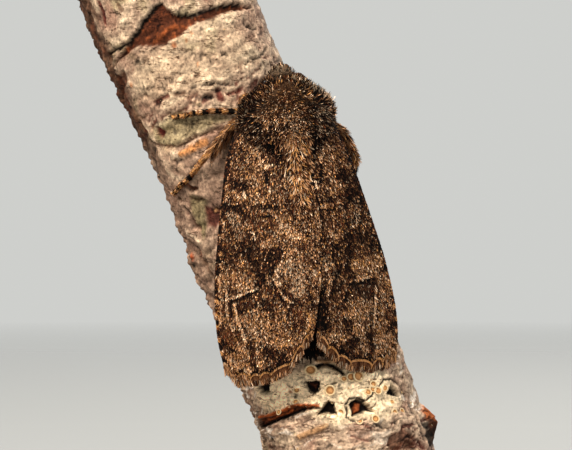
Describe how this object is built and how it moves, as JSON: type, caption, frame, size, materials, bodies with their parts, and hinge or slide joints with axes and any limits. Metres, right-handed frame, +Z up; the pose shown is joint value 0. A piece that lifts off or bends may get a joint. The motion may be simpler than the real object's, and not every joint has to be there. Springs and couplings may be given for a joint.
{
  "type": "noctuid moth on a branch perch",
  "caption": "Life-size dark noctuid moth resting with roofed wings on a cut length of lichened branch, held up by a rod on a flat display base.",
  "frame": {"origin": "middle of the underside of the display base, at floor level", "axes": "+Z up, the moth's back faces -Y with its head up, +X is the moth's right side as its back is seen"},
  "size_m": [0.042, 0.032, 0.0455],
  "materials": {
    "wing_scales": "overlapping dusty scales in mottled dark brown, black and ochre",
    "body_fur": "shaggy dark brown and ochre hair scales with pale tips",
    "leg_scales": "tan and dark brown scales, banded on the tarsi",
    "eye_facets": "dark glossy facets",
    "bark": "pale rough bark with lichen, cracks and red-brown peeled patches",
    "stand_wood": "dark satin hardwood",
    "stand_steel": "brushed steel rod"
  },
  "bodies": {
    "root": {"abdomen": "body_fur", "antenna_left": "leg_scales", "antenna_right": "leg_scales", "eye_left": "eye_facets", "eye_right": "eye_facets", "foreleg_left": "leg_scales", "foreleg_right": "leg_scales", "forewing_left": "wing_scales", "forewing_right": "wing_scales", "head": "body_fur", "hindleg_left": "leg_scales", "hindleg_right": "leg_scales", "hindwing_left": "wing_scales", "hindwing_right": "wing_scales", "midleg_left": "leg_scales", "midleg_right": "leg_scales", "palp_left": "leg_scales", "palp_right": "leg_scales", "perch_branch": "bark", "stand_base": "stand_wood", "stand_rod": "stand_steel", "thorax": "body_fur"}
  },
  "joints": []
}
